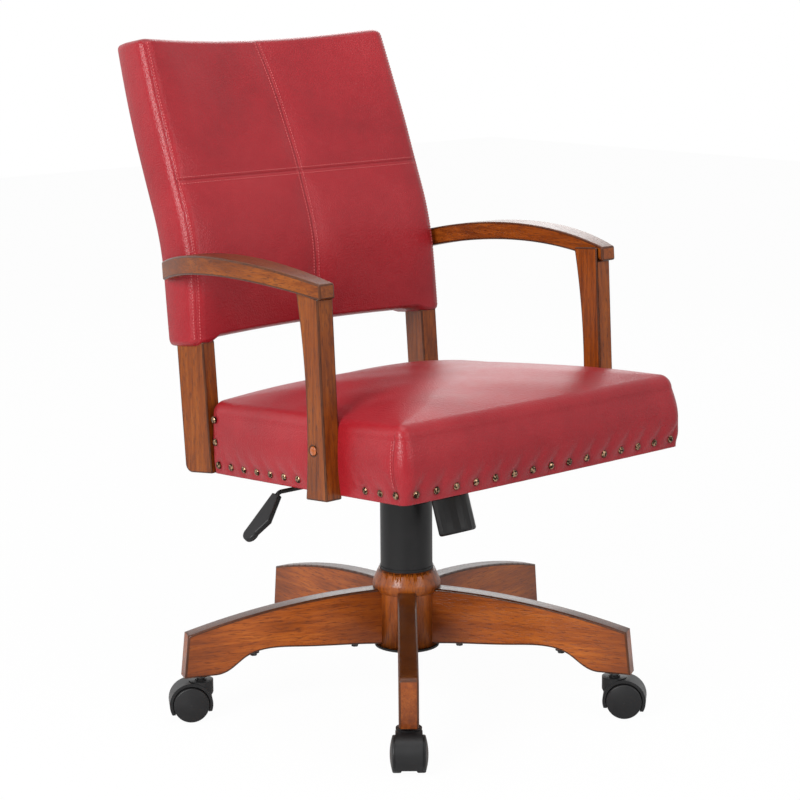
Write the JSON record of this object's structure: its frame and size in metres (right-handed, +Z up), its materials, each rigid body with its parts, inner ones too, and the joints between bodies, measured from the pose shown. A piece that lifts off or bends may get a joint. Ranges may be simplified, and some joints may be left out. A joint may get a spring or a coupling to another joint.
{
  "type": "office chair",
  "caption": "Swivel armchair with padded seat and back, bowed wooden arms, nail trim, gas lift, tilt mechanism and arched wooden legs on twin-wheel casters.",
  "frame": {"origin": "on the floor, under the middle of the column", "axes": "+Z up along the column, the sitter faces -Y, the sitter's right is -X"},
  "size_m": [0.6752, 0.7004, 0.943],
  "materials": {
    "stained_wood": "reddish brown stain under gloss lacquer",
    "raw_wood": "raw plywood and rails under the cover",
    "red_leather": "fine grained coated cover with soft sheen",
    "bronze": "antique bronze",
    "black_plastic": "satin black",
    "black_steel": "satin black paint",
    "bright_steel": "plain steel"
  },
  "bodies": {
    "base": {"hub": "stained_wood", "hub_socket": "black_steel", "leg_1": "stained_wood", "leg_2": "stained_wood", "leg_3": "stained_wood", "leg_4": "stained_wood", "leg_5": "stained_wood", "leg_screws": "bright_steel", "caster_sockets": "bright_steel", "gas_tube": "black_steel", "guide_bush": "black_plastic", "cover_lower": "black_plastic"},
    "spindle": {"piston_rod": "bright_steel", "thrust_bearing": "bright_steel"},
    "column": {"gas_cylinder": "bright_steel", "cover_upper": "black_plastic", "tilt_housing": "black_steel", "tilt_pin": "bright_steel"},
    "button": {"gas_button": "bright_steel"},
    "lever": {"lever_rod": "black_steel", "lever_paddle": "black_plastic"},
    "seat": {"tension_bolt": "bright_steel", "tilt_spring": "bright_steel", "seat_plate": "black_steel", "plate_bolts": "bright_steel", "seat_board": "raw_wood", "seat_frame": "raw_wood", "seat_cushion": "red_leather", "seat_nails": "bronze", "rear_post_left": "stained_wood", "rear_post_right": "stained_wood", "arm_post_left": "stained_wood", "arm_post_right": "stained_wood", "arm_rail_left": "stained_wood", "arm_rail_right": "stained_wood", "arm_plugs": "stained_wood", "frame_bolts": "bright_steel", "back_board": "raw_wood", "back_cushion": "red_leather"},
    "knob": {"tension_knob": "black_plastic"},
    "caster_1": {"caster_hood_1": "black_plastic", "caster_pins_1": "bright_steel"},
    "wheel_1a_roll": {"wheel_1a": "black_plastic"},
    "wheel_1b_roll": {"wheel_1b": "black_plastic"},
    "caster_2": {"caster_hood_2": "black_plastic", "caster_pins_2": "bright_steel"},
    "wheel_2a_roll": {"wheel_2a": "black_plastic"},
    "wheel_2b_roll": {"wheel_2b": "black_plastic"},
    "caster_3": {"caster_hood_3": "black_plastic", "caster_pins_3": "bright_steel"},
    "wheel_3a_roll": {"wheel_3a": "black_plastic"},
    "wheel_3b_roll": {"wheel_3b": "black_plastic"},
    "caster_4": {"caster_hood_4": "black_plastic", "caster_pins_4": "bright_steel"},
    "wheel_4a_roll": {"wheel_4a": "black_plastic"},
    "wheel_4b_roll": {"wheel_4b": "black_plastic"},
    "caster_5": {"caster_hood_5": "black_plastic", "caster_pins_5": "bright_steel"},
    "wheel_5a_roll": {"wheel_5a": "black_plastic"},
    "wheel_5b_roll": {"wheel_5b": "black_plastic"}
  },
  "joints": [
    {"name": "seat_swivel", "type": "hinge", "parent": "base", "child": "spindle", "pos_m": [0, 0, 0.08], "axis": [0, 0, 1], "continuous": true},
    {"name": "seat_lift", "type": "slide", "parent": "spindle", "child": "column", "axis": [0, 0, 1], "range_m": [0, 0.075]},
    {"name": "seat_tilt", "type": "hinge", "parent": "column", "child": "seat", "pos_m": [0, -0.02995, 0.34177], "axis": [-1, 0, 0], "range_deg": [0, 8], "stiffness_Nm_per_rad": 150, "springref_deg": -8.59, "deforming": ["tilt_spring"]},
    {"name": "lever_lift", "type": "hinge", "parent": "column", "child": "lever", "pos_m": [-0.0365, 0.002, 0.34], "axis": [0, 1, 0], "range_deg": [0, 1.4], "stiffness_Nm_per_rad": 2, "springref_deg": -2.86},
    {"name": "button_press", "type": "slide", "parent": "column", "child": "button", "axis": [0, 0, -1], "range_m": [0, 0.0009]},
    {"name": "knob_turn", "type": "hinge", "parent": "seat", "child": "knob", "pos_m": [0, -0.07174, 0.3672], "axis": [0, 0.3256, 0.9455], "range_deg": [-360, 360]},
    {"name": "caster_swivel_1", "type": "hinge", "parent": "base", "child": "caster_1", "pos_m": [-0.20423, -0.22841, 0.06], "axis": [0, 0, 1], "continuous": true},
    {"name": "wheel_roll_1a", "type": "hinge", "parent": "caster_1", "child": "wheel_1a_roll", "pos_m": [-0.21396, -0.2393, 0.025], "axis": [0.7455, -0.6665, 0], "continuous": true},
    {"name": "wheel_roll_1b", "type": "hinge", "parent": "caster_1", "child": "wheel_1b_roll", "pos_m": [-0.21396, -0.2393, 0.025], "axis": [0.7455, -0.6665, 0], "continuous": true},
    {"name": "caster_swivel_2", "type": "hinge", "parent": "base", "child": "caster_2", "pos_m": [0.15413, -0.26481, 0.06], "axis": [0, 0, 1], "continuous": true},
    {"name": "wheel_roll_2a", "type": "hinge", "parent": "caster_2", "child": "wheel_2a_roll", "pos_m": [0.16355, -0.27597, 0.025], "axis": [0.7638, 0.6455, 0], "continuous": true},
    {"name": "wheel_roll_2b", "type": "hinge", "parent": "caster_2", "child": "wheel_2b_roll", "pos_m": [0.16355, -0.27597, 0.025], "axis": [0.7638, 0.6455, 0], "continuous": true},
    {"name": "caster_swivel_3", "type": "hinge", "parent": "base", "child": "caster_3", "pos_m": [0.29948, 0.06475, 0.06], "axis": [0, 0, 1], "continuous": true},
    {"name": "wheel_roll_3a", "type": "hinge", "parent": "caster_3", "child": "wheel_3a_roll", "pos_m": [0.31375, 0.06784, 0.025], "axis": [-0.2113, 0.9774, 0], "continuous": true},
    {"name": "wheel_roll_3b", "type": "hinge", "parent": "caster_3", "child": "wheel_3b_roll", "pos_m": [0.31375, 0.06784, 0.025], "axis": [-0.2113, 0.9774, 0], "continuous": true},
    {"name": "caster_swivel_4", "type": "hinge", "parent": "base", "child": "caster_4", "pos_m": [0.03096, 0.30483, 0.06], "axis": [0, 0, 1], "continuous": true},
    {"name": "wheel_roll_4a", "type": "hinge", "parent": "caster_4", "child": "wheel_4a_roll", "pos_m": [0.03244, 0.31936, 0.025], "axis": [-0.9949, 0.1011, 0], "continuous": true},
    {"name": "wheel_roll_4b", "type": "hinge", "parent": "caster_4", "child": "wheel_4b_roll", "pos_m": [0.03244, 0.31936, 0.025], "axis": [-0.9949, 0.1011, 0], "continuous": true},
    {"name": "caster_swivel_5", "type": "hinge", "parent": "base", "child": "caster_5", "pos_m": [-0.28034, 0.12365, 0.06], "axis": [0, 0, 1], "continuous": true},
    {"name": "wheel_roll_5a", "type": "hinge", "parent": "caster_5", "child": "wheel_5a_roll", "pos_m": [-0.29248, 0.13177, 0.025], "axis": [-0.5563, -0.831, 0], "continuous": true},
    {"name": "wheel_roll_5b", "type": "hinge", "parent": "caster_5", "child": "wheel_5b_roll", "pos_m": [-0.29248, 0.13177, 0.025], "axis": [-0.5563, -0.831, 0], "continuous": true}
  ],
  "couplings": [
    {"joint": "button_press", "follows": "lever_lift", "m_per_rad": 0.0365}
  ]
}
